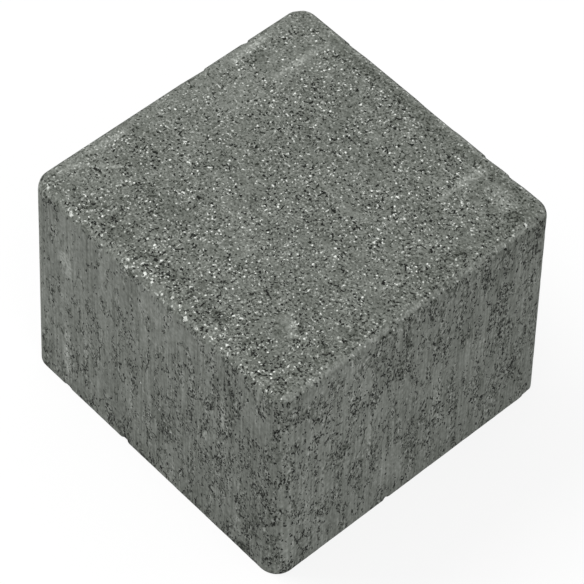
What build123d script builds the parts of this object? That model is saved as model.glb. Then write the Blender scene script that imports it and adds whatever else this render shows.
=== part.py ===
from build123d import *
import os

# Concrete paving stone, cast in one piece in a steel mould.
# Millimetres, +Z up, origin at the middle of the bedding face, so the stone lies on the ground as it is laid.

# Driving dimensions
length = 105.5         # along X, at the bedding face
width = 103.8          # along Y, at the bedding face
height = 80.0          # from the bedding face up to the wearing face
side_draft = 0.97      # degrees that each side leans in towards the wearing face
corner_radius = 5.9    # rounding of the four upright corners
arris_radius = 3.2     # roll of the edge around the wearing face

with BuildPart() as paving_stone:
    # Tapered block: the mould lifts off upwards, so the stone is widest at its bedding face
    with BuildSketch(Plane.XY):
        Rectangle(length, width)
    extrude(amount=height, taper=side_draft)

    # Upright corners: between the edges of the bedding face and those of the wearing face
    upright_corners = paving_stone.edges().group_by(Axis.Z)[1]
    fillet(upright_corners, radius=corner_radius)

    # Rolled arris: one chain of edges all round the wearing face
    wearing_face = paving_stone.faces().sort_by(Axis.Z)[-1]
    fillet(wearing_face.edges(), radius=arris_radius)

paving_stone.part.label = "paving_stone"

os.makedirs("parts", exist_ok=True)
export_step(paving_stone.part, "parts/paving_stone.step")
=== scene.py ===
import itertools
import math
from collections import namedtuple

import bpy
import numpy as np
from mathutils import Matrix, Vector


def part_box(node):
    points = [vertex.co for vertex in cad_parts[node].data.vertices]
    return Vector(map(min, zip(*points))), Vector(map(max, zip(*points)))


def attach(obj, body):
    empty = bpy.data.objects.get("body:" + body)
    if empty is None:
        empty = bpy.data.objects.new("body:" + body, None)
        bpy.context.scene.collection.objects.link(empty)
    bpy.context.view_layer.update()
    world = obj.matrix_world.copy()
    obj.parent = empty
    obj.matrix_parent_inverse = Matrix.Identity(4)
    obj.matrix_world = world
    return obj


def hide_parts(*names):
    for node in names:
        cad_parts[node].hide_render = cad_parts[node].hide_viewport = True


# The looks of a concrete paving stone, in the frame of its solid. The stone is worked out in
# millimetres and becomes metres when its mesh is made.
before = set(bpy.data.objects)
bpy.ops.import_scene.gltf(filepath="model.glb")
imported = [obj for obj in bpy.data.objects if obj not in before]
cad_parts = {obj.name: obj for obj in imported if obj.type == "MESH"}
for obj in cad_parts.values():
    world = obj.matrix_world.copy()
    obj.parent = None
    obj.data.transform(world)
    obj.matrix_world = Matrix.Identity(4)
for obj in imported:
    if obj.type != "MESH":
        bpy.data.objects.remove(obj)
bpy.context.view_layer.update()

NODE = "paving_stone"
BODY = "root"
SLOT = "concrete"
PIECE = "paving_stone_surface"
FLAT_MAP = "OFBake"       # name of the stone's flat map
METRES = 0.001            # in a millimetre
low_corner, high_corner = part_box(NODE)
LENGTH, WIDTH, HEIGHT = (side / METRES for side in high_corner - low_corner)

# Form of the stone, as its solid has it
SIDE_DRAFT = math.radians(0.97)
CORNER_RADIUS = 5.9
ARRIS_RADIUS = 3.2
FOOT_BREAK = 0.1          # small break of the edge round the bedding face
ROLL_START = HEIGHT - ARRIS_RADIUS + ARRIS_RADIUS * math.sin(SIDE_DRAFT)
ROLL_INSET = ROLL_START * math.tan(SIDE_DRAFT) + ARRIS_RADIUS * math.cos(SIDE_DRAFT)
ROLL_CORNER = CORNER_RADIUS - ARRIS_RADIUS * math.cos(SIDE_DRAFT)
ROLL_MIDDLE = (math.pi / 2 + SIDE_DRAFT) / 2                  # lean in the middle of the rolled edge
HALF_ROLL = ARRIS_RADIUS * (math.pi / 2 - SIDE_DRAFT) / 2     # run from there to either end of the roll

# Fineness of the mesh: cells along one side, rows up a wall and rows over the rolled edge
CELLS = 150
WALL_ROWS = 110
ROLL_ROWS = 8
UNDER_CELLS = CELLS // 2
MAP_GAP = 2.0             # between the faces on the flat map
WALL_RISE = HEIGHT + ARRIS_RADIUS     # room for a wall and its rolled edge on that map
TINY = 1e-6

# Faces of the stone, by number: the four sides in turn round the plan, then the top and the underside.
# A point is on the top or the underside where the upright part of its normal is past FLAT.
# The wall's share goes from 1 to 0 between the two values of WALL_END.
FRONT, RIGHT, BACK, LEFT, TOP, UNDER = range(6)
SIDES = (FRONT, RIGHT, BACK, LEFT)
FLAT = 0.9
WALL_END = (0.2, 0.9)

# Relief: sizes of the lumps and how deep they are
GRIT_SIZE, GRIT_DEPTH = 3.4, 0.18
SAND_SIZE, SAND_DEPTH = 1.9, 0.14
GAP_SHARE, GAP_DEPTH = 0.25, 0.08
SKIN_LUMP, SKIN_DEPTH = 9.0, 0.08
STREAK_SIZE, STREAK_DEPTH = np.array([1.7, 1.7, 45.0]), 0.07
GROOVE_DEPTH = 0.18       # of the shallow hollow inside three edges of the wearing face
WALL_CALM = 0.6           # how much flatter the open texture of the sides is
ROLL_CALM, ROLL_CALM_EASE = 0.6, 1.0     # how much flatter the roll is, and how softly that ends
ROLL_CALM_RUN = (HALF_ROLL + ROLL_CALM_EASE, HALF_ROLL - ROLL_CALM_EASE)
RELIEF_LIFT = 0.08        # brings the highest parts of the relief back to the surface of the solid

# Noise of the relief: length of its tables, the ease between its lumps, its gain and its seeds
TABLE = 256
LUMP_EASE = (6, 15, 10)
CLOUD_GAIN = 1.6
RAGGED_SEED, OPEN_SEED = 11, 12
GRIT_SEED, SAND_SEED, SKIN_SEED, STREAK_SEED = 21, 22, 23, 24

# Edges of single features: where they start and where they are full, in reaches from the middle
PATCH_EDGE, PATCH_WANDER, PATCH_LUMP = (1.25, 0.45), 0.45, 3.5
CHIP_EDGE, CHIP_WANDER = (1.1, 0.6), 0.3
GRAIN_EDGE = (2.0, 0.0)
SCRATCH_EDGE = (1.3, 0.4)
SCRATCH_PATCHY = (0.75, 0.5)     # how much of a scratch shows, and how much the ragged noise changes that
SCRATCH_SKIN = 0.6               # how smooth a scratch is
FLAKE_RUN = (4.0, 2.5)           # flakes fade out over this run from the middle of the rolled edge

# How open the texture of each face is, and how much that drifts over the sides
FACE_OPEN = [0.3, 0.6, 0.45, 0.4, 0.85, 0.9]
OPEN_DRIFT, OPEN_LUMP = 0.25, np.array([6.0, 6.0, 14.0])

# The sandy texture ends on the rolled edge: where on each side, and the run over which its share
# goes from 1 to 0. The underside has one share all over.
SANDY_END, SANDY_RUN = np.array([0.5, 0.4, 0.2, 0.2]), 5.0
UNDER_SANDY = 0.6
SANDY_LUMP, SANDY_WANDER, SANDY_BORDER = 1.6, 1.2, (0.42, 0.58)     # of its ragged border

SMOOTH, DETAILED = 1.0, 2.0      # detail of the noise with plain lumps, and of the usual one
FINENESS = 0.5                   # of the usual noise
MIDDLE = 0.5                     # of shares and of noise that go from 0 to 1

# Sandy texture of the wearing face. Levels are those of noise about 0, edges and radii are in sizes.
DRIFT_SIZE, DRIFT_REACH = 1.3, 0.3            # of the wander that makes outlines irregular
GATHER_SIZE = 4.0                             # of places where pits or pale grains gather
CALM_SIZE, CALM_LEVELS, CALM_SHARE = 6.0, (0.02, 0.14), 0.5
PIT_SIZE, PIT_LEVEL, PIT_EDGE = 0.8, -0.16, 0.03
PIT_GATHER, PIT_TONE = 0.2, 0.2               # more pits where they gather and in dark places
CRACK_SIZE, CRACK_WIDTH = 2.6, (0.08, 0.05)
CRACK_PLACE, CRACK_LEVELS = 2.2, (0.12, 0.16)
DOT_SIZE, DOT_RADIUS, DOT_SHARE = 1.1, 0.42, 0.44
FLECK_SIZE, FLECK_LEVELS, FLECK_GATHER = 0.8, (0.1, 0.26), 0.15
SPECK_SIZE, SPECK_EDGE, SPECK_LEAST, SPECK_CURVE = 1.0, (0.42, 0.19), 0.5, 4.0
RIM_SIZE, RIM_EDGE, RIM_LEAST = 1.6, (0.38, 0.26), 0.4
FLECK_SHINE, SPECK_SHINE, RIM_SHINE, WHITE_SHINE = 0.47, 0.75, 0.42, 0.38
WHITE_LUMP, WHITE_WANDER = 0.6, 0.8           # of the large white grains' ragged outlines
WHITE_EDGE = (0.4, 0.6)                       # shares between which such a grain ends
MOTTLE_SIZE = 0.65
FACET_SIZE, FACET_TONE = 1.5, 0.1
# The rims of the dots are painted pale by this, as a highlight, and raised in the bump.
DOT_RIM_TONE = 0.05
SKIN_GRAIN = 0.5                              # how much of the mottle smooth places lose

# Texture of the sides. It is drawn out upright, which its noise gets from a smaller scale of Z.
DRAWN, LONG_DRAWN = (1.0, 1.0, 0.55), (1.0, 1.0, 0.3)
COLUMN_DRAWN, COLUMN_SIZE = (1.0, 1.0, 0.1), 1.6
LINE_DRAWN, LINE_SIZE = (1.0, 1.0, 0.03), 0.7
TORN_SIZE, TORN_DETAIL, TORN_EDGE, TORN_LEVEL, TORN_OPEN = 3.0, 3.0, 0.09, -0.12, 0.16
TORN_HOLES, COLUMN_HOLES, OPEN_HOLES = 0.65, 1.2, 0.15
HOLE_SIZE, HOLE_RADIUS = 0.86, 0.45
FINE_SIZE, FINE_RADIUS, FINE_SHARE, FINE_DEPTH = 0.58, 0.45, 0.9, 0.9
DEEP_SIZE, DEEP_RADIUS, DEEP_SHARE = 4.0, 0.18, 0.35
HOLE_LEAST, HOLE_EDGE = 0.45, 0.8                           # least hole, and where a hole is fully dark
HOLE_RIM = (1.7, 1.2)                                       # where its rim, painted pale as a highlight, starts and is full
HOLE_LUMP, HOLE_WANDER = 0.5, 2.6                           # of the holes' ragged outlines
LIP_SIZE, LIP_DETAIL, LIP_FINENESS = 4.0, 4.0, 0.55
LIP_SHIFT, LIP_WIDTH = 0.02, (0.014, 0.006)
LIP_PLACE, LIP_LEVELS, LIP_LEAST, LIP_DEPTH = 2.5, (-0.02, 0.06), 0.3, 0.9
# The last of these paints the rims of the holes pale, as a highlight, and raises them in the bump.
GRAIN_SIZE, GRAIN_LEAST, GRAIN_TORN, HOLE_RIM_TONE = 0.8, 0.32, 0.8, 0.06
SIDE_HOLLOW = 1.2                                           # how much stronger holes are on the sides: deeper in the bump and darker in their painted shade

# Tones of the concrete, as brightness on a screen, with painted shade in its holes and hollows
TOP_TONE = 0.44
WALL_TONE = 0.062                  # how much paler the sides are than the wearing face
TINT = (-0.0128, 0.0, -0.0232)     # how much red, green and blue differ from the tone
SCREEN_GAMMA = 2.2
LEAST_TONE, MOST_TONE = 0.07, 0.93
# The last two darken the deep hollows of the relief and the holes, as painted shade.
RELIEF_TONE, LINE_TONE, TORN_TONE, DEEP_SHADE, HOLLOW_SHADE = 0.65, 0.24, 0.03, 0.05, 0.42
CLOUDY_SIZE, CLOUDY_DETAIL, CLOUDY_TONE, CLOUDY_WALL = 7.0, 4.0, 0.11, 0.05
PATCH_TONE, PATCHY_SIZE, PATCHY_DETAIL, PATCHY_SPREAD = 0.26, 1.0, 3.0, 5.0
BUMP_STRENGTH, BUMP_DEPTH = 0.7, 0.3
TORN_HEIGHT, MOTTLE_HEIGHT, GRAIN_HEIGHT, LINE_HEIGHT = 0.25, 1.5, 0.6, 0.5
ROUGHNESS, SHINE_POLISH, SPECULAR = 0.9, 0.4, 0.3

# Stage, light and camera
FLOOR_REACH = 3.0
FLOOR_SEEN, FLOOR_BOUNCE = 0.97, 0.5     # paleness of the floor where seen, and for the light it throws
FLOOR_SHADE = 0.16        # how much of the floor's light and shade is seen, the rest is white
WHITE = (1.0, 1.0, 1.0, 1.0)
SKY_LEVEL = 0.62
KEY_PLACE, KEY_SIZE, KEY_POWER = Vector((-0.85, -0.36, 1.43)), 0.9, 16.0
FILL_PLACE, FILL_SIZE, FILL_POWER = Vector((1.5, -0.4, 0.8)), 1.0, 5.4
PICTURE = 584             # pixels across the photograph
FOCAL_PIXELS = 3287.0
SENSOR = 36.0
VIEW_AZIMUTH, VIEW_ELEVATION, VIEW_ROLL = (math.radians(a) for a in (46.10, 52.04, 2.12))
VIEW_DISTANCE = 0.9263
AIM = Vector((0.0, 0.0, 0.0422))
AIM_SHIFT = (0.00078, -0.00364)          # how far the camera moves to its right and up

# Bands along the edge of the wearing face: side, middle and half width of the band as a run over
# the rolled edge, and strength. The run is 0 in the middle of the roll, less on the wearing face
# and more on the wall. They change the tone, how smooth and how open the texture is, the depth,
# and the share of coarse pale grains.
# The dark bands just below the middle of the rolled edge, on each side, are painted shade where the roll
# turns down to the wall.
TONE_BANDS = [
    (FRONT, -0.3, 0.5, 0.12),
    (FRONT, -6.2, 2.5, -0.18),
    (FRONT, 1.2, 0.7, -0.2),
    (RIGHT, 0.0, 0.8, 0.55),
    (RIGHT, -4.8, 3.0, -0.2),
    (RIGHT, 1.8, 1.2, -0.2),
    (BACK, -0.9, 1.1, 0.4),
    (BACK, -3.8, 2.4, -0.3),
    (BACK, 0.5, 1.0, -0.5),
    (LEFT, -3.6, 2.2, 0.05),
    (LEFT, 0.5, 1.0, -0.5),
]
SKIN_BANDS = [
    (RIGHT, 0.0, 0.9, 0.5),
    (RIGHT, -4.5, 3.4, 0.3),
    (BACK, -3.2, 2.2, 0.55),
    (LEFT, -2.6, 2.6, 0.45),
]
OPEN_BANDS = [
    (FRONT, 1.7, 1.4, 0.85),
    (RIGHT, 6.5, 7.0, 0.95),
    (BACK, 6.0, 6.0, 0.7),
    (LEFT, 3.0, 3.0, 0.6),
]
GROOVE_BANDS = [
    (FRONT, -6.6, 3.4, 1.0),
    (RIGHT, -5.0, 3.4, 1.0),
    (BACK, -4.5, 2.4, 1.0),
]
RIM_BANDS = [
    (FRONT, -0.7, 1.8, 1.0),
    (RIGHT, -0.8, 1.2, 0.4),
    (BACK, -1.0, 1.5, 0.4),
]

# Places on the stone that look different from the rest: face, place across, place up, reach across,
# reach up and strength. Across and up are X and Y on the top, and on a side the way along it and
# the height. There are places with an open texture, places with smooth skin, pale ones and dark ones.
OPEN_PATCHES = [
    (FRONT, 21.0, 51.0, 4.0, 5.0, 0.9),
    (FRONT, 33.0, 58.0, 3.5, 5.0, 0.9),
    (FRONT, 33.0, 69.0, 5.0, 6.0, 0.7),
    (FRONT, 16.5, 38.5, 4.0, 3.5, 0.8),
    (FRONT, 5.0, 29.0, 4.0, 3.5, 0.7),
    (FRONT, -18.0, 5.5, 3.5, 5.0, 0.9),
    (FRONT, 13.0, 10.0, 3.5, 3.0, 0.8),
    (FRONT, 24.0, 8.0, 2.5, 4.0, 0.7),
    (FRONT, -27.0, 26.0, 2.5, 3.5, 0.5),
    (FRONT, -45.0, 10.0, 4.0, 7.0, 0.6),
    (FRONT, 45.0, 45.0, 5.0, 9.0, 0.7),
    (FRONT, 50.0, 40.0, 6.0, 50.0, 0.8),
    (FRONT, 44.0, 35.0, 5.0, 5.0, 0.6),
    (FRONT, 38.5, 3.0, 2.2, 2.5, 0.9),
    (FRONT, -8.0, 52.0, 5.0, 6.0, 0.4),
    (FRONT, 44.0, 36.0, 44.0, 70.0, 0.74),
    (FRONT, 0.0, 2.0, 60.0, 7.0, 0.5),
    (RIGHT, -24.0, 71.0, 6.0, 5.0, 1.0),
    (RIGHT, -10.0, 56.5, 3.0, 2.0, 0.8),
    (RIGHT, -26.5, 41.5, 2.4, 3.0, 1.0),
    (RIGHT, 14.0, 57.0, 3.0, 4.5, 0.7),
    (RIGHT, 31.0, 53.0, 4.0, 5.5, 0.9),
    (RIGHT, 30.0, 38.0, 3.0, 7.0, 1.0),
    (RIGHT, 41.0, 51.0, 4.0, 4.5, 0.7),
    (RIGHT, 28.0, 67.0, 7.0, 3.5, 0.8),
    (RIGHT, 12.0, 29.0, 9.0, 5.5, 0.7),
    (RIGHT, -31.0, 8.5, 3.5, 3.5, 0.8),
    (RIGHT, 7.5, 20.0, 3.5, 4.5, 0.7),
    (RIGHT, 31.0, 19.0, 4.5, 3.5, 0.7),
    (RIGHT, 30.0, 9.5, 3.0, 4.0, 0.6),
    (RIGHT, -48.0, 50.0, 4.0, 22.0, 0.7),
    (RIGHT, -44.0, 64.0, 3.0, 3.0, 0.8),
    (BACK, -40.0, 62.0, 7.0, 8.0, 0.9),
    (BACK, -12.0, 69.0, 8.0, 5.0, 0.8),
    (BACK, 8.0, 44.0, 5.0, 9.0, 0.9),
    (BACK, 34.0, 58.0, 5.0, 6.0, 0.8),
    (BACK, 41.0, 24.0, 6.0, 12.0, 0.8),
    (BACK, -28.0, 18.0, 9.0, 6.0, 0.8),
    (BACK, 16.0, 9.0, 6.0, 4.0, 0.7),
    (LEFT, -30.0, 52.0, 5.0, 8.0, 0.9),
    (LEFT, 5.0, 66.0, 7.0, 5.0, 0.8),
    (LEFT, 24.0, 38.0, 6.0, 10.0, 0.8),
    (LEFT, 44.0, 60.0, 4.0, 9.0, 0.7),
    (LEFT, -8.0, 26.0, 5.0, 5.0, 0.8),
    (LEFT, -41.0, 14.0, 6.0, 8.0, 0.8),
    (LEFT, 30.0, 6.0, 9.0, 4.0, 0.7),
]
SKIN_PATCHES = [
    (FRONT, -26.0, 66.0, 24.0, 14.0, 0.9),
    (FRONT, -42.0, 36.0, 6.0, 40.0, 0.5),
    (FRONT, 42.0, 62.0, 6.0, 8.0, 0.9),
    (FRONT, 13.0, 72.5, 5.0, 4.0, 0.9),
    (FRONT, 36.0, 28.0, 2.5, 4.0, 0.7),
    (FRONT, -20.0, 20.0, 4.0, 6.0, 0.6),
    (RIGHT, -9.0, 49.0, 6.0, 6.0, 0.9),
    (RIGHT, 15.0, 41.0, 12.0, 7.0, 0.9),
    (RIGHT, -10.5, 14.0, 8.0, 11.0, 0.9),
    (RIGHT, 18.0, 13.0, 7.0, 8.0, 0.8),
    (RIGHT, 23.5, 58.0, 3.0, 5.0, 0.8),
    (RIGHT, 38.5, 60.0, 3.0, 7.0, 0.8),
    (RIGHT, -31.0, 46.0, 3.0, 4.0, 0.7),
    (RIGHT, -40.5, 76.0, 2.5, 3.0, 0.8),
    (RIGHT, 0.0, 6.0, 60.0, 9.0, 0.3),
    (BACK, -22.0, 46.0, 8.0, 9.0, 0.9),
    (BACK, 22.0, 64.0, 6.0, 6.0, 0.8),
    (BACK, 26.0, 32.0, 7.0, 10.0, 0.9),
    (BACK, -6.0, 16.0, 8.0, 7.0, 0.8),
    (BACK, -44.0, 36.0, 4.0, 8.0, 0.7),
    (LEFT, -14.0, 48.0, 7.0, 10.0, 0.9),
    (LEFT, 38.0, 44.0, 5.0, 7.0, 0.8),
    (LEFT, 8.0, 16.0, 9.0, 9.0, 0.9),
    (LEFT, -34.0, 72.0, 10.0, 5.0, 0.8),
    (LEFT, -26.0, 30.0, 6.0, 8.0, 0.7),
    (TOP, 30.4, -31.0, 3.0, 3.0, 0.75),
    (TOP, 32.4, -33.0, 3.2, 3.2, 0.75),
    (TOP, 34.4, -35.0, 3.0, 3.0, 0.75),
    (TOP, 36.4, -37.0, 2.8, 2.8, 0.6),
    (TOP, 48.5, 45.0, 5.0, 7.0, 0.6),
    (TOP, 46.0, 40.5, 3.0, 4.5, 0.5),
    (TOP, -44.0, 10.0, 16.0, 50.0, 0.18),
    (TOP, 29.6, -21.7, 2.2, 2.0, 0.8),
    (TOP, -43.8, 27.5, 3.2, 2.8, 0.7),
    (TOP, -18.5, -28.0, 4.0, 3.2, 0.5),
    (TOP, -44.0, 46.0, 8.0, 4.0, 0.45),
    (TOP, 37.5, 41.0, 5.0, 4.0, 0.3),
]
PALE_PATCHES = [
    (FRONT, -36.2, 57.5, 3.0, 5.0, 0.7),
    (FRONT, -36.5, 41.0, 1.6, 3.0, 0.5),
    (FRONT, -36.8, 16.0, 1.8, 17.0, 0.8),
    (FRONT, 29.5, 55.0, 1.5, 9.0, 0.7),
    (FRONT, 30.0, 37.0, 1.0, 4.5, 0.6),
    (FRONT, 36.0, 18.0, 1.2, 12.0, 0.6),
    (FRONT, 13.0, 46.0, 0.8, 8.0, 0.5),
    (FRONT, 22.5, 37.5, 1.0, 2.4, 0.7),
    (FRONT, 8.0, 70.0, 16.0, 7.0, 0.2),
    (FRONT, -44.0, 46.0, 22.0, 60.0, 0.04),
    (RIGHT, -10.5, 14.0, 6.0, 9.0, 0.3),
    (RIGHT, 40.5, 48.5, 2.0, 1.0, 0.6),
    (RIGHT, -30.0, 40.0, 28.0, 60.0, 0.09),
    (BACK, 30.5, 38.0, 1.5, 18.0, 0.5),
    (BACK, -33.0, 30.0, 1.4, 12.0, 0.5),
    (LEFT, 18.0, 52.0, 1.6, 12.0, 0.5),
    (LEFT, -36.0, 40.0, 1.2, 20.0, 0.5),
    # Painted light on the lit wall of the dent:
    (TOP, 33.0, -29.5, 1.6, 1.6, 0.7),
    (TOP, 34.4, -30.9, 1.7, 1.7, 0.8),
    (TOP, 35.8, -32.3, 1.6, 1.6, 0.7),
    (TOP, 38.5, 42.2, 6.0, 3.0, 0.45),
    (TOP, -44.0, 28.0, 20.0, 44.0, 0.14),
    (TOP, -44.0, -40.0, 12.0, 14.0, 0.12),
    (TOP, -26.0, 42.0, 2.0, 2.5, 0.3),
    (TOP, 4.0, -18.0, 18.0, 6.0, 0.12),
    (TOP, -30.0, -16.0, 6.0, 6.0, 0.15),
]
DARK_PATCHES = [
    (TOP, -43.8, 27.5, 3.2, 2.6, 0.55),
    (TOP, 29.6, -21.7, 2.4, 2.0, 0.3),
    (TOP, 18.0, -42.5, 3.0, 1.6, 0.6),
    (TOP, 47.5, 38.0, 1.8, 4.0, 0.4),
    # Painted shade in a crack beyond the dent's lit wall, and on the dent's shaded wall:
    (TOP, 34.8, -28.8, 1.0, 1.0, 0.9),
    (TOP, 36.3, -30.3, 1.0, 1.0, 0.9),
    (TOP, 30.6, -32.8, 1.6, 1.6, 0.4),
    (TOP, 32.4, -34.6, 1.6, 1.6, 0.4),
    (TOP, 45.8, 39.5, 2.6, 4.0, 0.45),
    (TOP, -18.0, -30.0, 7.0, 6.0, 0.25),
    (FRONT, 44.0, 46.0, 8.0, 18.0, 0.2),
    (FRONT, 10.0, 32.0, 16.0, 20.0, 0.12),
    (FRONT, 0.0, 0.0, 60.0, 9.0, 0.12),
    (FRONT, -45.5, 12.0, 3.5, 6.0, 0.35),
    # Painted shade in two chips out of the foot of this side:
    (FRONT, 38.5, 2.5, 2.4, 2.4, 1.0),
    (FRONT, -11.0, 1.0, 2.4, 1.4, 1.0),
    (RIGHT, -26.8, 40.5, 1.4, 1.8, 1.0),
    (RIGHT, 42.0, 44.0, 26.0, 60.0, 0.08),
]

# Flakes off the edge of the wearing face: side, start and end along it, and depth at the end
FLAKES = [
    (LEFT, -26.6, -29.3, 0.55),
    (LEFT, -4.0, -12.6, 0.3),
    (BACK, -31.0, -24.3, 0.35),
    (BACK, -40.0, -33.4, 0.35),
    (BACK, 24.0, 31.0, 0.25),
]

# Chips out of the edges and one dent in the wearing face: place, reach and depth
CHIPS = [
    ((-49.6, 47.4, 78.6), 1.4, 0.12),
    ((6.0, 50.2, 78.4), 9.0, 0.15),
    ((-48.9, -48.2, 78.6), 2.4, 0.3),
    ((52.6, 46.5, 0.4), 2.0, 0.35),
    ((52.7, -9.6, 0.0), 0.9, 0.6),
    ((-11.5, -51.9, 0.0), 1.2, 0.5),
    ((-36.9, -51.9, 0.0), 1.3, 0.25),
    ((38.5, -51.7, 2.0), 1.8, 0.5),
    ((32.4, -32.4, 80.0), 4.6, 0.4),
]

# Pale scratches on the wearing face: start, end, width and strength
SCRATCHES = [
    ((-34.3, 44.5), (-34.6, 25.0), 1.3, 0.95),
    ((-37.5, -28.5), (-46.8, -38.2), 0.6, 0.9),
    ((-46.8, -38.2), (-47.4, -44.0), 1.0, 0.7),
    ((28.3, 44.5), (28.0, 38.0), 1.9, 0.8),
    ((28.0, 38.0), (28.3, 29.0), 0.8, 0.7),
    ((-33.0, -33.5), (-41.5, -33.8), 0.5, 0.6),
    ((18.0, 7.5), (-2.0, 9.0), 0.6, 0.35),
    ((-49.0, -41.8), (-48.2, -34.5), 1.0, 0.5),
    ((-48.2, -34.5), (-47.0, -19.5), 1.0, 0.8),
    ((-47.0, -19.5), (-48.9, -15.8), 0.8, 0.5),
    ((-46.8, 20.5), (-48.0, 34.5), 1.3, 0.9),
    ((33.6, 41.0), (35.2, 43.7), 0.7, 0.7),
    ((37.0, 41.6), (40.2, 44.1), 0.7, 0.7),
    ((40.9, 41.2), (43.2, 43.2), 0.7, 0.6),
]

# Single large white grains: place and radius
WHITE_GRAINS = [
    ((-34.8, -49.9, 79.2), 0.9),
    ((-11.2, -50.3, 78.9), 0.8),
    ((-2.1, -48.8, 80.0), 0.55),
    ((2.7, -49.3, 79.6), 0.5),
    ((12.6, -50.0, 79.0), 0.85),
    ((20.9, -46.2, 80.0), 0.6),
    ((27.0, -47.7, 80.0), 0.5),
    ((35.0, -49.9, 79.2), 0.7),
    ((44.5, -49.6, 79.3), 0.5),
    ((50.2, 35.6, 79.6), 0.55),
    ((27.3, 5.1, 80.0), 0.6),
    ((19.8, 20.7, 80.0), 0.6),
    ((-4.5, -51.3, 34.3), 0.5),
]


# Shape of the stone without its relief

def side_path(along, out, radius, share):
    """Places along and out from one side of a rounded rectangle, and which way they face.
    The side runs from the middle of one corner to that of the next, and share goes from 0 to 1 on it."""
    half_arc = radius * math.pi / 4
    straight = 2 * (along - radius)
    run = share * (straight + 2 * half_arc) - half_arc
    angle = (np.minimum(run, 0) + np.maximum(run - straight, 0)) / radius
    place = np.clip(run, 0, straight) - straight / 2 + radius * np.sin(angle)
    reach = out - radius + radius * np.cos(angle)
    return np.column_stack([place, reach]), np.column_stack([np.sin(angle), np.cos(angle)])


def turned(side, pairs):
    """X and Y of pairs measured along and out from a side."""
    turn = side * math.pi / 2
    along = np.array([math.cos(turn), math.sin(turn)])
    out = np.array([math.sin(turn), -math.cos(turn)])
    return pairs[:, :1] * along + pairs[:, 1:] * out


def outline(half_x, half_y, radius, sides, shares):
    """X, Y and outward direction of points on a rounded rectangle, given by side and share along it."""
    places, facing = np.zeros((len(sides), 2)), np.zeros((len(sides), 2))
    for side in SIDES:
        here = sides == side
        along, out = (half_x, half_y) if side % 2 == 0 else (half_y, half_x)
        pairs, aims = side_path(along, out, radius, shares[here])
        places[here], facing[here] = turned(side, pairs), turned(side, aims)
    return places, facing


def profile():
    """Rows of the wall, up and over the rolled edge: inset, height, lean and corner radius."""
    rows = [(FOOT_BREAK, 0.0, -math.pi / 4, CORNER_RADIUS - FOOT_BREAK)]
    for height in np.linspace(FOOT_BREAK, ROLL_START, WALL_ROWS):
        rows.append((height * math.tan(SIDE_DRAFT), height, SIDE_DRAFT, CORNER_RADIUS))
    for lean in np.linspace(SIDE_DRAFT, math.pi / 2, ROLL_ROWS + 1)[1:]:
        reach = ARRIS_RADIUS * math.cos(lean)
        height = HEIGHT - ARRIS_RADIUS + ARRIS_RADIUS * math.sin(lean)
        rows.append((ROLL_INSET - reach, height, lean, ROLL_CORNER + reach))
    return rows


def grid_places(cells):
    """Side, share and distance from the middle, all as shares, of a square grid's points."""
    u, v = np.meshgrid(np.linspace(-1, 1, cells + 1), np.linspace(-1, 1, cells + 1), indexing="ij")
    u, v = u.ravel(), v.ravel()
    middle = np.maximum(np.abs(u), np.abs(v))
    reach = np.where(middle > 0, middle, 1)
    u, v = u / reach, v / reach
    sides = np.select([v <= -1, u >= 1, v >= 1, u <= -1], [FRONT, RIGHT, BACK, LEFT], FRONT)
    shares = np.select([sides == FRONT, sides == RIGHT, sides == BACK], [1 + u, 1 + v, 1 - u], 1 - v) / 2
    return sides, shares, middle


class Shell:
    """The stone's points, the way each faces, its faces and their places on a flat map."""

    def __init__(self):
        self.points, self.normals, self.faces, self.maps = [], [], [], []
        self.count = 0

    def add_points(self, points, normals):
        """Adds points and returns their numbers."""
        self.points.append(points)
        self.normals.append(normals)
        first = self.count
        self.count += len(points)
        return np.arange(first, self.count)

    def add_faces(self, corners, places):
        """Adds faces, with the place of each corner on the flat map."""
        self.faces += corners.tolist()
        self.maps.append(places.reshape(-1, 2))


def map_corner(face):
    """Lower left corner of a face on the flat map: two rows of walls, then the top and the underside."""
    face = np.asarray(face)
    column, row = face % 2, face // 2
    left = MAP_GAP + column * (LENGTH + MAP_GAP)
    base = MAP_GAP + row * (WALL_RISE + MAP_GAP)
    return np.column_stack([left, base])


def map_scale():
    """Scale of the flat map, a square that holds the two rows of walls and the row above them."""
    return 1 / (2 * WALL_RISE + WIDTH + 4 * MAP_GAP)


def map_of(xy, face):
    """Place on the flat map of points of the top or the underside."""
    return xy + [LENGTH / 2, WIDTH / 2] + map_corner([face])[0]


def wall_rings(shell, sides, shares):
    """Adds a ring of points for each row of the profile. Returns the rings and the run up to each."""
    rings, run = [], []
    last = None
    for inset, height, lean, corner in profile():
        xy, facing = outline(LENGTH / 2 - inset, WIDTH / 2 - inset, corner, sides, shares)
        points = np.column_stack([xy, np.full(len(xy), height)])
        normals = np.column_stack([facing * math.cos(lean), np.full(len(xy), math.sin(lean))])
        rings.append(shell.add_points(points, normals))
        run.append(0.0 if last is None else run[-1] + math.hypot(inset - last[0], height - last[1]))
        last = (inset, height)
    return rings, run


def build_walls(shell):
    """Adds the four walls with the rolled edge, and returns the lowest and the highest ring."""
    sides = np.repeat(SIDES, CELLS)
    shares = np.tile(np.arange(CELLS) / CELLS, len(SIDES))
    rings, run = wall_rings(shell, sides, shares)
    pitch = LENGTH / CELLS
    left, base = map_corner(sides).T
    left = left + shares * LENGTH
    across = np.column_stack([left, left + pitch, left + pitch, left])
    for lower, upper, start, end in zip(rings, rings[1:], run, run[1:]):
        corners = np.column_stack([lower, np.roll(lower, -1), np.roll(upper, -1), upper])
        up = np.column_stack([base + start, base + start, base + end, base + end])
        shell.add_faces(corners, np.stack([across, up], axis=2))
    return rings[0], rings[-1]


def grid_faces(index):
    """Corner numbers of a grid's cells, anticlockwise as seen from above."""
    corners = [index[:-1, :-1], index[1:, :-1], index[1:, 1:], index[:-1, 1:]]
    return np.stack(corners, axis=2).reshape(-1, len(corners))


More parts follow.
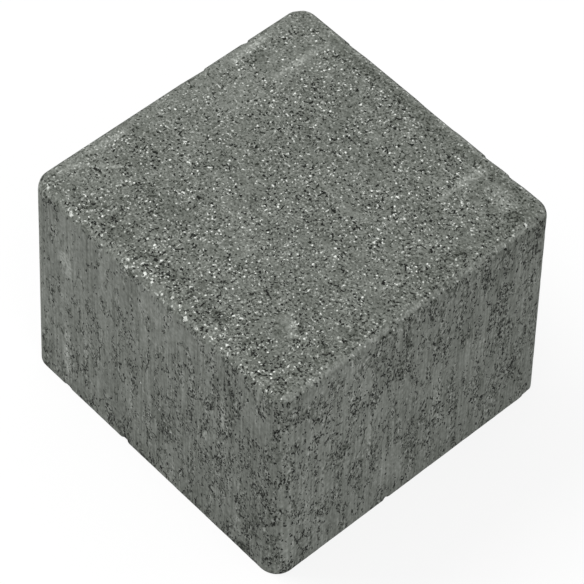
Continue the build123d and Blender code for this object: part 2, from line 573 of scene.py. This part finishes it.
def build_top(shell, ring):
    """Closes the top with a square grid of points inside the highest ring."""
    sides, shares, middle = grid_places(CELLS)
    half_x, half_y = LENGTH / 2 - ROLL_INSET, WIDTH / 2 - ROLL_INSET
    xy = outline(half_x, half_y, ROLL_CORNER, sides, shares)[0] * middle[:, None]
    index = np.zeros(len(xy), int)
    inner = middle < 1 - TINY
    points = np.column_stack([xy, np.full(len(xy), HEIGHT)])
    normals = np.tile([0.0, 0.0, 1.0], (len(xy), 1))
    index[inner] = shell.add_points(points[inner], normals[inner])
    index[~inner] = ring[(sides * CELLS + np.rint(shares * CELLS).astype(int))[~inner] % len(ring)]
    cells = grid_faces(np.arange(len(xy)).reshape(CELLS + 1, CELLS + 1))
    shell.add_faces(index[cells], map_of(xy[cells].reshape(-1, 2), TOP))


def build_underside(shell, ring):
    """Closes the underside with a coarser grid, joined to the lowest ring by a band of triangles."""
    sides, shares, middle = grid_places(UNDER_CELLS)
    half_x, half_y = LENGTH / 2 - FOOT_BREAK, WIDTH / 2 - FOOT_BREAK
    band = 1 - LENGTH / UNDER_CELLS / half_x
    xy = outline(half_x, half_y, CORNER_RADIUS - FOOT_BREAK, sides, shares)[0] * middle[:, None] * band
    points = np.column_stack([xy, np.zeros(len(xy))])
    index = shell.add_points(points, np.tile([0.0, 0.0, -1.0], (len(xy), 1)))
    cells = grid_faces(np.arange(len(xy)).reshape(UNDER_CELLS + 1, UNDER_CELLS + 1))[:, ::-1]
    shell.add_faces(index[cells], map_of(xy[cells].reshape(-1, 2), UNDER))
    rim = np.flatnonzero(middle > 1 - TINY)
    turn = (sides * UNDER_CELLS + np.rint(shares * UNDER_CELLS).astype(int))[rim]
    inner = index[rim[np.argsort(turn % (len(SIDES) * UNDER_CELLS))]]
    first, between, after = ring[0::2], ring[1::2], np.roll(ring, -2)[0::2]
    inner_after = np.roll(inner, -1)
    places = np.vstack(shell.points)[:, :2]
    strips = (
        (first, inner, between),
        (between, inner, inner_after),
        (between, inner_after, after),
    )
    for corners in strips:
        triangles = np.column_stack(corners)
        shell.add_faces(triangles, map_of(places[triangles].reshape(-1, 2), UNDER))


# Noise for the relief, the same at every run

def lattice_keys(cells, order):
    """A number for each cell of a lattice, mixed by a shuffled table."""
    x, y, z = (cells % TABLE).T
    return order[(order[(order[x] + y) % TABLE] + z) % TABLE]


def cloud(points, size, seed):
    """Smooth noise from about -1 to 1, with lumps about size across."""
    rng = np.random.default_rng(seed)
    order = rng.permutation(TABLE)
    slopes = rng.normal(size=(TABLE, 3))
    slopes /= np.linalg.norm(slopes, axis=1, keepdims=True)
    scaled = points / size
    cells = np.floor(scaled).astype(int)
    inside = scaled - cells
    ease = inside ** 3 * (inside * (inside * LUMP_EASE[0] - LUMP_EASE[1]) + LUMP_EASE[2])
    total = np.zeros(len(points))
    for corner in itertools.product((0, 1), repeat=3):
        reach = np.where(corner, ease, 1 - ease).prod(axis=1)
        total += reach * (slopes[lattice_keys(cells + corner, order)] * (inside - corner)).sum(axis=1)
    return total * CLOUD_GAIN


def grains(points, size, seed):
    """Distance to the nearest and to the second nearest of scattered grains, in grain sizes."""
    rng = np.random.default_rng(seed)
    order, spots = rng.permutation(TABLE), rng.random((TABLE, 3))
    scaled = points / size
    cells = np.floor(scaled).astype(int)
    nearest, second = np.full(len(points), np.inf), np.full(len(points), np.inf)
    for step in itertools.product((-1, 0, 1), repeat=3):
        spot = cells + step + spots[lattice_keys(cells + step, order)]
        gap = np.linalg.norm(spot - scaled, axis=1)
        second = np.minimum(second, np.maximum(nearest, gap))
        nearest = np.minimum(nearest, gap)
    return nearest, second


def fade(value, start, end):
    """0 at start and 1 at end, with a soft change between."""
    share = np.clip((value - start) / (end - start), 0, 1)
    return share * share * (3 - 2 * share)


# What the surface is like from place to place

FacePlaces = namedtuple("FacePlaces", "face across up")
EdgePlaces = namedtuple("EdgePlaces", "side run along")


def face_places(points, normals):
    """For each point: the face that it is on, and its place across and up that face."""
    x, y, z = points.T
    sideways = np.column_stack([-normals[:, 1], normals[:, 0], normals[:, 1], -normals[:, 0]])
    face = sideways.argmax(axis=1)
    face[normals[:, 2] > FLAT] = TOP
    face[normals[:, 2] < -FLAT] = UNDER
    across = np.select([face == FRONT, face == RIGHT, face == BACK, face == LEFT], [x, y, -x, -y], x)
    up = np.where(face < TOP, z, y)
    return FacePlaces(face, across, up)


def edge_places(points, normals):
    """For each point: the nearest side, the run from the middle of its rolled edge, the place along it."""
    x, y, z = points.T
    half_x, half_y = LENGTH / 2 - ROLL_INSET, WIDTH / 2 - ROLL_INSET
    inside = np.column_stack([half_y + y, half_x - x, half_y - y, half_x + x])
    side = inside.argmin(axis=1)
    lean = np.arcsin(normals[:, 2].clip(-1, 1))
    on_roll = (ROLL_MIDDLE - lean) * ARRIS_RADIUS
    on_top = -HALF_ROLL - inside.min(axis=1)
    on_wall = HALF_ROLL + ROLL_START - z
    run = np.select([z <= ROLL_START, lean > math.pi / 2 - TINY], [on_wall, on_top], on_roll)
    along = np.select([side == FRONT, side == RIGHT, side == BACK], [x, y, -x], -y)
    return EdgePlaces(side, run, along)


def patches(table, places, ragged):
    """The strongest of a table's patches at each point, with ragged edges."""
    face, across, up = places
    found = np.zeros(len(face))
    for on, middle_across, middle_up, reach_across, reach_up, strength in table:
        near = np.hypot((across - middle_across) / reach_across, (up - middle_up) / reach_up)
        shown = fade(near + PATCH_WANDER * ragged, *PATCH_EDGE)
        found = np.maximum(found, (face == on) * strength * shown)
    return found


def bands(table, edges, ragged):
    """The sum of a table's bands at each point, with ragged edges."""
    found = np.zeros(len(ragged))
    for on, middle, reach, strength in table:
        near = np.abs(edges.run - middle) / reach
        shown = fade(near + PATCH_WANDER * ragged, *PATCH_EDGE)
        found += (edges.side == on) * strength * shown
    return found


def white_grains(points):
    """1 in the middle of the single large white grains, and a half at their edges."""
    found = np.zeros(len(points))
    for middle, radius in WHITE_GRAINS:
        away = np.linalg.norm(points - np.array(middle), axis=1) / radius
        found = np.maximum(found, fade(away, *GRAIN_EDGE))
    return found


def scratches(points, ragged):
    """How strongly the pale scratches on the wearing face show."""
    found = np.zeros(len(points))
    for start, end, width, strength in SCRATCHES:
        run = np.subtract(end, start)
        share = np.clip((points[:, :2] - start) @ run / (run @ run), 0, 1)
        away = np.linalg.norm(points[:, :2] - start - share[:, None] * run, axis=1) / width
        found = np.maximum(found, strength * fade(away, *SCRATCH_EDGE) * (points[:, 2] > ROLL_START))
    return found * (SCRATCH_PATCHY[0] + SCRATCH_PATCHY[1] * ragged)


def flakes(edges):
    """How deep the flakes off the edge of the wearing face are: most at their end."""
    side, run, along = edges
    found = np.zeros(len(side))
    for on, start, end, depth in FLAKES:
        share = (along - start) / (end - start)
        inside = (side == on) & (share > 0) & (share < 1)
        found = np.maximum(found, inside * depth * share * fade(np.abs(run), *FLAKE_RUN))
    return found


def chips(points, ragged):
    """How deep the chips and the dent are."""
    found = np.zeros(len(points))
    for middle, reach, depth in CHIPS:
        away = np.linalg.norm(points - np.array(middle), axis=1) / reach
        found += depth * fade(away + CHIP_WANDER * ragged, *CHIP_EDGE)
    return found


def open_shares(points, places, edges, ragged, wall, skin):
    """How open the texture is, from 0 to 1."""
    found = np.array(FACE_OPEN)[places.face] + OPEN_DRIFT * wall * cloud(points, OPEN_LUMP, OPEN_SEED)
    found = np.maximum(found, patches(OPEN_PATCHES, places, ragged))
    found = np.maximum(found, bands(OPEN_BANDS, edges, ragged) * (edges.run > 0))
    return (found * (1 - skin)).clip(0, 1)


def coarse_relief(points, open_share):
    """How deep the hollows between the grains of the open texture are."""
    nearest, second = grains(points, GRIT_SIZE, GRIT_SEED)
    gap = 1 - fade(second - nearest, 0, GAP_SHARE)
    sand = grains(points, SAND_SIZE, SAND_SEED)[0]
    return (GRIT_DEPTH * nearest ** 2 + GAP_DEPTH * gap + SAND_DEPTH * sand ** 2) * open_share


def sunk(points, edges, ragged, wall, coarse):
    """How far each point lies below the surface of the solid."""
    skin_waves = SKIN_DEPTH * (1 + cloud(points, SKIN_LUMP, SKIN_SEED)) / 2
    streaks = wall * STREAK_DEPTH * (1 + cloud(points, STREAK_SIZE, STREAK_SEED)) / 2
    depth = skin_waves + streaks + coarse * (1 - WALL_CALM * wall)
    depth *= 1 - ROLL_CALM * fade(np.abs(edges.run), *ROLL_CALM_RUN)
    depth = np.maximum(depth - RELIEF_LIFT, 0)
    groove = GROOVE_DEPTH * bands(GROOVE_BANDS, edges, ragged)
    return depth + groove + flakes(edges) + chips(points, ragged)


def surface_fields(points, normals):
    """How far each point sinks, and what the material needs to know there, as shares from 0 to 1."""
    places = face_places(points, normals)
    edges = edge_places(points, normals)
    ragged = cloud(points, PATCH_LUMP, RAGGED_SEED)
    wall = 1 - fade(np.abs(normals[:, 2]), *WALL_END)
    sandy = MIDDLE + (SANDY_END[edges.side] - edges.run) / SANDY_RUN
    sandy = np.where(places.face == UNDER, UNDER_SANDY, sandy).clip(0, 1)
    scratched = scratches(points, ragged)
    skin = np.maximum(patches(SKIN_PATCHES, places, ragged), bands(SKIN_BANDS, edges, ragged))
    skin = np.maximum(skin, SCRATCH_SKIN * scratched).clip(0, 1)
    open_share = open_shares(points, places, edges, ragged, wall, skin)
    coarse = coarse_relief(points, open_share)
    pale = np.maximum(patches(PALE_PATCHES, places, ragged), scratched)
    # Some of these places are painted light and shade: on the dent's walls, in two chips and on the lower
    # half of the rolled edge.
    tone = pale - patches(DARK_PATCHES, places, ragged) + bands(TONE_BANDS, edges, ragged)
    return sunk(points, edges, ragged, wall, coarse), {
        "open_share": open_share,
        "sandy_share": sandy,
        "skin_share": skin,
        "pale_share": MIDDLE + tone / 2,
        "white_share": white_grains(points),
        "rim_share": bands(RIM_BANDS, edges, ragged),
        "wall_share": wall,
        # The deepest hollows of the relief are darkened by this share, as painted shade.
        "deep_share": np.clip(coarse / (GRIT_DEPTH + GAP_DEPTH), 0, 1),
    }


def make_stone():
    """The stone's mesh, with its relief, its flat map and the shares that its material reads."""
    shell = Shell()
    lowest, highest = build_walls(shell)
    build_top(shell, highest)
    build_underside(shell, lowest)
    points, normals = np.vstack(shell.points), np.vstack(shell.normals)
    depth, fields = surface_fields(points, normals)
    placed = points - normals * depth[:, None]
    placed[:, 2] = np.maximum(placed[:, 2], 0)
    mesh = bpy.data.meshes.new(PIECE)
    mesh.from_pydata((placed * METRES).tolist(), [], shell.faces)
    mesh.shade_smooth()
    for name, values in fields.items():
        mesh.attributes.new(name, "FLOAT", "POINT").data.foreach_set("value", values.astype(np.float32))
    flat_map = mesh.uv_layers.new(name=FLAT_MAP)
    flat_map.uv.foreach_set("vector", (np.vstack(shell.maps) * map_scale()).astype(np.float32).ravel())
    mesh.validate()
    stone = bpy.data.objects.new(PIECE, mesh)
    bpy.context.scene.collection.objects.link(stone)
    return stone


# Material, where place is a point in millimetres and loose is that point moved a little by noise

class Field:
    """A number that varies over a surface, worked out by the nodes of one tree."""

    def __init__(self, tree, socket):
        self.tree = tree
        self.socket = socket

    def calc(self, operation, *others):
        """The result of a math node."""
        inputs = dict(enumerate((self,) + others))
        made = node(self.tree, "ShaderNodeMath", inputs, operation=operation)
        return Field(self.tree, made.outputs[0])

    def __add__(self, other):
        return self.calc("ADD", other)

    def __sub__(self, other):
        return self.calc("SUBTRACT", other)

    def __mul__(self, other):
        return self.calc("MULTIPLY", other)

    def __pow__(self, other):
        return self.calc("POWER", other)

    def __rsub__(self, other):
        return self * -1.0 + other

    __radd__ = __add__

    def greater(self, other):
        """The greater of two numbers."""
        return self.calc("MAXIMUM", other)

    def step(self, start, end):
        """0 at start and 1 at end, with a soft change between."""
        inputs = {"Value": self, "From Min": start, "From Max": end}
        made = node(self.tree, "ShaderNodeMapRange", inputs, interpolation_type="SMOOTHSTEP")
        return Field(self.tree, made.outputs["Result"])


def node(tree, kind, inputs=None, **settings):
    """A new node with its settings, and its inputs set to values or joined to other nodes' outputs."""
    made = tree.nodes.new(kind)
    for name, value in settings.items():
        setattr(made, name, value)
    for name, value in (inputs or {}).items():
        value = value.socket if isinstance(value, Field) else value
        if isinstance(value, bpy.types.NodeSocket):
            tree.links.new(value, made.inputs[name])
        else:
            made.inputs[name].default_value = value
    return made


def empty_tree(owner):
    """The node tree of a material or a world, with nothing in it."""
    owner.use_nodes = True
    owner.node_tree.nodes.clear()
    return owner.node_tree


def share_of(tree, name):
    """One of the shares that the mesh holds."""
    return Field(tree, node(tree, "ShaderNodeAttribute", attribute_name=name).outputs["Fac"])


def noise(tree, place, size, detail=DETAILED, fineness=FINENESS):
    """Smooth noise about 0, mostly between -0.2 and 0.2, with lumps about size across."""
    inputs = {"Vector": place, "Scale": 1 / size, "Detail": detail, "Roughness": fineness}
    return Field(tree, node(tree, "ShaderNodeTexNoise", inputs).outputs["Fac"]) - MIDDLE


def scattered(tree, place, size):
    """Distance to the nearest of points about size apart, in sizes, and its two random numbers."""
    inputs = {"Vector": place, "Scale": 1 / size}
    found = node(tree, "ShaderNodeTexVoronoi", inputs, feature="F1").outputs
    chances = node(tree, "ShaderNodeSeparateColor", {0: found["Color"]}).outputs
    return Field(tree, found["Distance"]), Field(tree, chances["Red"]), Field(tree, chances["Green"])


def grain_gaps(tree, place, size):
    """Distance to the nearest gap between grains about size across, in sizes."""
    inputs = {"Vector": place, "Scale": 1 / size}
    found = node(tree, "ShaderNodeTexVoronoi", inputs, feature="DISTANCE_TO_EDGE").outputs
    return Field(tree, found["Distance"])


def stretched(tree, place, factors):
    """The place with each of its numbers multiplied."""
    return node(tree, "ShaderNodeVectorMath", {0: place, 1: factors}, operation="MULTIPLY").outputs[0]


def wandering(tree, place, size, reach):
    """The place moved by up to about reach, so that what is drawn there gets irregular outlines."""
    inputs = {"Vector": place, "Scale": 1 / size, "Detail": SMOOTH}
    drift = node(tree, "ShaderNodeTexNoise", inputs).outputs["Color"]
    inputs = {0: drift, 1: (MIDDLE, MIDDLE, MIDDLE)}
    centred = node(tree, "ShaderNodeVectorMath", inputs, operation="SUBTRACT").outputs[0]
    inputs = {0: centred, 1: (2 * reach, 2 * reach, 2 * reach), 2: place}
    return node(tree, "ShaderNodeVectorMath", inputs, operation="MULTIPLY_ADD").outputs[0]


def pin_holes(tree, place, size, share, radius):
    """1 in small ragged holes, and 1 in them and on their rims, which are painted pale as a highlight.
    They are at about that share of scattered points, with radii up to the one given in sizes."""
    away, chance, reach = scattered(tree, place, size)
    away = away + noise(tree, place, HOLE_LUMP, SMOOTH) * (HOLE_WANDER * radius)
    edge = (reach * (1 - HOLE_LEAST) + HOLE_LEAST) * radius
    here = chance.calc("LESS_THAN", share)
    rim_start, rim_end = HOLE_RIM
    return away.step(edge, edge * HOLE_EDGE) * here, away.step(edge * rim_start, edge * rim_end) * here


def sandy_pits(tree, loose, place, gathered, tone):
    """Pits, cracks and dots of the wearing face, darkened as painted shade, and the rims of the dots,
    painted pale as a highlight.
    """
    level = gathered * PIT_GATHER + PIT_LEVEL - tone * PIT_TONE
    pits = noise(tree, loose, PIT_SIZE, SMOOTH).step(level, level - PIT_EDGE)
    cracked = noise(tree, place, CRACK_PLACE).step(*CRACK_LEVELS)
    cracks = grain_gaps(tree, loose, CRACK_SIZE).step(*CRACK_WIDTH) * cracked
    dots, rims = pin_holes(tree, loose, DOT_SIZE, DOT_SHARE - gathered - tone, DOT_RADIUS)
    return pits.greater(cracks).greater(dots), rims


def sandy_shine(tree, loose, gathered, calm, rim):
    """Pale grains of the wearing face: small flecks and specks, and coarser grains along its rim."""
    flecks = (noise(tree, loose, FLECK_SIZE, SMOOTH) - gathered * FLECK_GATHER).step(*FLECK_LEVELS)
    away, chance, light = scattered(tree, loose, SPECK_SIZE)
    specks = away.step(*SPECK_EDGE) * chance.calc("GREATER_THAN", SPECK_LEAST) * light ** SPECK_CURVE
    away, chance, light = scattered(tree, loose, RIM_SIZE)
    coarse = away.step(*RIM_EDGE) * chance.calc("GREATER_THAN", RIM_LEAST) * light * rim
    return (flecks * FLECK_SHINE + specks * SPECK_SHINE) * calm + coarse * RIM_SHINE


def sandy_texture(tree, loose, place, rim, tone):
    """Wearing face: pits darkened as painted shade, pale grains and a fine mottle, dense in places and
    calmer in others.
    """
    gathered = noise(tree, place, GATHER_SIZE)
    calm = 1.0 - noise(tree, place, CALM_SIZE).step(*CALM_LEVELS) * CALM_SHARE
    pits, rims = sandy_pits(tree, loose, place, gathered, tone)
    shine = sandy_shine(tree, loose, gathered, calm, rim)
    facet = scattered(tree, loose, FACET_SIZE)[1] - MIDDLE
    mottle = noise(tree, loose, MOTTLE_SIZE) * calm + facet * FACET_TONE + rims * DOT_RIM_TONE
    return pits * calm, shine, mottle


def side_holes(tree, drawn, share, open_share):
    """Pin holes of the sides in three sizes, and their rims, painted pale as a highlight."""
    holes, rims = pin_holes(tree, drawn, HOLE_SIZE, share, HOLE_RADIUS)
    fine_holes, fine_rims = pin_holes(tree, drawn, FINE_SIZE, share * FINE_SHARE, FINE_RADIUS)
    deep_holes, deep_rims = pin_holes(tree, drawn, DEEP_SIZE, open_share * DEEP_SHARE, DEEP_RADIUS)
    hollows = holes.greater(fine_holes * FINE_DEPTH).greater(deep_holes)
    return hollows, rims.greater(fine_rims).greater(deep_rims)


def torn_lips(tree, drawn, long_drawn, level, open_share):
    """Thin winding crevices, darkened as painted shade, stronger where the texture is open."""
    waves = noise(tree, long_drawn, LIP_SIZE, LIP_DETAIL, LIP_FINENESS)
    off = (waves - level - LIP_SHIFT).calc("ABSOLUTE")
    here = noise(tree, drawn, LIP_PLACE).step(*LIP_LEVELS)
    return off.step(*LIP_WIDTH) * here * (open_share + LIP_LEAST)


def skin_texture(tree, loose, place, open_share):
    """Sides: smooth skin with fine upright lines, and torn places full of pin holes and crevices."""
    drawn = stretched(tree, loose, DRAWN)
    long_drawn = stretched(tree, loose, LONG_DRAWN)
    level = open_share * TORN_OPEN + TORN_LEVEL
    torn = noise(tree, long_drawn, TORN_SIZE, TORN_DETAIL).step(level + TORN_EDGE, level - TORN_EDGE)
    columns = noise(tree, stretched(tree, place, COLUMN_DRAWN), COLUMN_SIZE)
    share = torn * TORN_HOLES + columns * COLUMN_HOLES + open_share * OPEN_HOLES
    holes, rims = side_holes(tree, drawn, share, open_share)
    hollows = holes.greater(torn_lips(tree, drawn, long_drawn, level, open_share) * LIP_DEPTH)
    lines = noise(tree, stretched(tree, place, LINE_DRAWN), LINE_SIZE, SMOOTH)
    grain = noise(tree, drawn, GRAIN_SIZE, SMOOTH) * (torn * GRAIN_TORN + GRAIN_LEAST)
    return hollows, torn, lines, grain + rims * HOLE_RIM_TONE


def surface_textures(tree, place, loose, given_tone):
    """The textures of the wearing face and of the sides, each where it belongs."""
    skin = share_of(tree, "skin_share")
    border = noise(tree, place, SANDY_LUMP, SMOOTH) * SANDY_WANDER
    sandy = (share_of(tree, "sandy_share") + border).step(*SANDY_BORDER)
    plain = 1.0 - sandy
    bare = sandy * (1.0 - skin)
    pits, shine, mottle = sandy_texture(tree, loose, place, share_of(tree, "rim_share"), given_tone)
    holes, torn, lines, grain = skin_texture(tree, loose, place, share_of(tree, "open_share"))
    white = share_of(tree, "white_share") + noise(tree, place, WHITE_LUMP, SMOOTH) * WHITE_WANDER
    found = {
        # hollows are sunk by the bump and darkened in the tone as painted shade
        "hollows": (pits * bare).greater(holes * plain * SIDE_HOLLOW),
        "shine": shine * bare + white.step(*WHITE_EDGE) * WHITE_SHINE,
        "relief": mottle * sandy * (1.0 - skin * SKIN_GRAIN) + grain * plain,
        "torn": torn * plain,
        "lines": lines * plain,
    }
    fine = mottle * bare * MOTTLE_HEIGHT + grain * plain * GRAIN_HEIGHT + found["lines"] * LINE_HEIGHT
    found["height"] = found["shine"] - found["hollows"] - found["torn"] * TORN_HEIGHT + fine
    return found


def screen_tone(tree, loose, textures, given_tone):
    """How bright the concrete is, as on a screen, with painted shade in its holes and deep hollows and
    painted highlights on the rims of its holes.
    """
    wall = share_of(tree, "wall_share")
    drawn = stretched(tree, loose, LONG_DRAWN)
    cloudy = noise(tree, drawn, CLOUDY_SIZE, CLOUDY_DETAIL) * (wall * CLOUDY_WALL + CLOUDY_TONE)
    patchy = noise(tree, loose, PATCHY_SIZE, PATCHY_DETAIL) * PATCHY_SPREAD + 1.0
    tone = TOP_TONE + wall * WALL_TONE + cloudy + given_tone * patchy * PATCH_TONE
    tone = tone + textures["relief"] * RELIEF_TONE + textures["lines"] * LINE_TONE
    # painted shade: the deep hollows and the holes are darkened
    tone = tone - textures["torn"] * TORN_TONE - share_of(tree, "deep_share") * DEEP_SHADE
    tone = tone + textures["shine"] - textures["hollows"] * HOLLOW_SHADE
    return tone.greater(LEAST_TONE).calc("MINIMUM", MOST_TONE)


def concrete():
    """Grey concrete: sandy texture on the wearing face, drawn cement skin with pin holes on the sides."""
    material = bpy.data.materials.new(SLOT)
    tree = empty_tree(material)
    object_place = node(tree, "ShaderNodeTexCoord").outputs["Object"]
    place = stretched(tree, object_place, (1 / METRES, 1 / METRES, 1 / METRES))
    loose = wandering(tree, place, DRIFT_SIZE, DRIFT_REACH)
    given_tone = share_of(tree, "pale_share") - MIDDLE
    textures = surface_textures(tree, place, loose, given_tone)
    tone = screen_tone(tree, loose, textures, given_tone)
    channels = {channel: (tone + shift) ** SCREEN_GAMMA for channel, shift in enumerate(TINT)}
    colour = node(tree, "ShaderNodeCombineColor", channels).outputs[0]
    inputs = {"Height": textures["height"], "Strength": BUMP_STRENGTH, "Distance": BUMP_DEPTH * METRES}
    bump = node(tree, "ShaderNodeBump", inputs).outputs["Normal"]
    inputs = {
        "Base Color": colour,
        "Roughness": ROUGHNESS - textures["shine"] * SHINE_POLISH,
        "Specular IOR Level": SPECULAR,
        "Normal": bump,
    }
    shader = node(tree, "ShaderNodeBsdfPrincipled", inputs)
    node(tree, "ShaderNodeOutputMaterial", {"Surface": shader.outputs["BSDF"]})
    return material


# Stage, light and camera

def seen_directly(tree):
    """1 where something is seen, also in a shine, and 0 for the light that it throws on other things."""
    path = node(tree, "ShaderNodeLightPath").outputs
    camera = Field(tree, path["Is Camera Ray"])
    glossy = Field(tree, path["Is Glossy Ray"])
    through = Field(tree, path["Is Transmission Ray"])
    return camera.greater(glossy).greater(through)


def make_floor():
    """A wide floor, level with the bedding face, that looks white but keeps a faint shadow."""
    mesh = bpy.data.meshes.new("floor")
    corners = [(-1, -1, 0), (1, -1, 0), (1, 1, 0), (-1, 1, 0)]
    mesh.from_pydata([Vector(c) * FLOOR_REACH for c in corners], [], [(0, 1, 2, 3)])
    floor = bpy.data.objects.new("floor", mesh)
    bpy.context.scene.collection.objects.link(floor)
    material = bpy.data.materials.new("floor_white")
    tree = empty_tree(material)
    seen = seen_directly(tree)
    paleness = seen * (FLOOR_SEEN - FLOOR_BOUNCE) + FLOOR_BOUNCE
    matt = node(tree, "ShaderNodeBsdfDiffuse", {"Color": paleness})
    white = node(tree, "ShaderNodeEmission", {"Color": WHITE, "Strength": 1.0})
    inputs = {0: seen * (1 - FLOOR_SHADE), 1: matt.outputs[0], 2: white.outputs[0]}
    mixed = node(tree, "ShaderNodeMixShader", inputs)
    node(tree, "ShaderNodeOutputMaterial", {"Surface": mixed.outputs[0]})
    mesh.materials.append(material)


def make_world():
    """An even sky, white where it is seen."""
    world = bpy.data.worlds.new("studio")
    bpy.context.scene.world = world
    tree = empty_tree(world)
    level = seen_directly(tree) * (1.0 - SKY_LEVEL) + SKY_LEVEL
    sky = node(tree, "ShaderNodeBackground", {"Color": WHITE, "Strength": level})
    node(tree, "ShaderNodeOutputWorld", {"Surface": sky.outputs["Background"]})


def make_lamp(name, place, size, power):
    """A large soft round lamp that points at the stone."""
    lamp = bpy.data.lights.new(name, "AREA")
    lamp.shape = "DISK"
    lamp.size = size
    lamp.energy = power
    holder = bpy.data.objects.new(name, lamp)
    holder.location = place
    holder.rotation_euler = (AIM - place).to_track_quat("-Z", "Y").to_euler()
    bpy.context.scene.collection.objects.link(holder)


def make_camera():
    """The camera that the photograph's outline gives."""
    back = Vector((
        math.sin(VIEW_AZIMUTH) * math.cos(VIEW_ELEVATION),
        -math.cos(VIEW_AZIMUTH) * math.cos(VIEW_ELEVATION),
        math.sin(VIEW_ELEVATION),
    ))
    level_right = Vector((math.cos(VIEW_AZIMUTH), math.sin(VIEW_AZIMUTH), 0.0))
    level_up = back.cross(level_right)
    right = math.cos(VIEW_ROLL) * level_right + math.sin(VIEW_ROLL) * level_up
    up = math.cos(VIEW_ROLL) * level_up - math.sin(VIEW_ROLL) * level_right
    lens = bpy.data.cameras.new("camera")
    lens.sensor_width = SENSOR
    lens.lens = SENSOR * FOCAL_PIXELS / PICTURE
    camera = bpy.data.objects.new("camera", lens)
    turn = Matrix((right, up, back)).transposed().to_4x4()
    place = AIM + back * VIEW_DISTANCE + right * AIM_SHIFT[0] + up * AIM_SHIFT[1]
    camera.matrix_world = Matrix.Translation(place) @ turn
    bpy.context.scene.collection.objects.link(camera)
    bpy.context.scene.camera = camera


bpy.context.scene.view_settings.view_transform = "Standard"
stone = make_stone()
stone.data.materials.append(concrete())
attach(stone, BODY)
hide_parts(NODE)
make_floor()
make_world()
make_lamp("key", KEY_PLACE, KEY_SIZE, KEY_POWER)
make_lamp("fill", FILL_PLACE, FILL_SIZE, FILL_POWER)
make_camera()
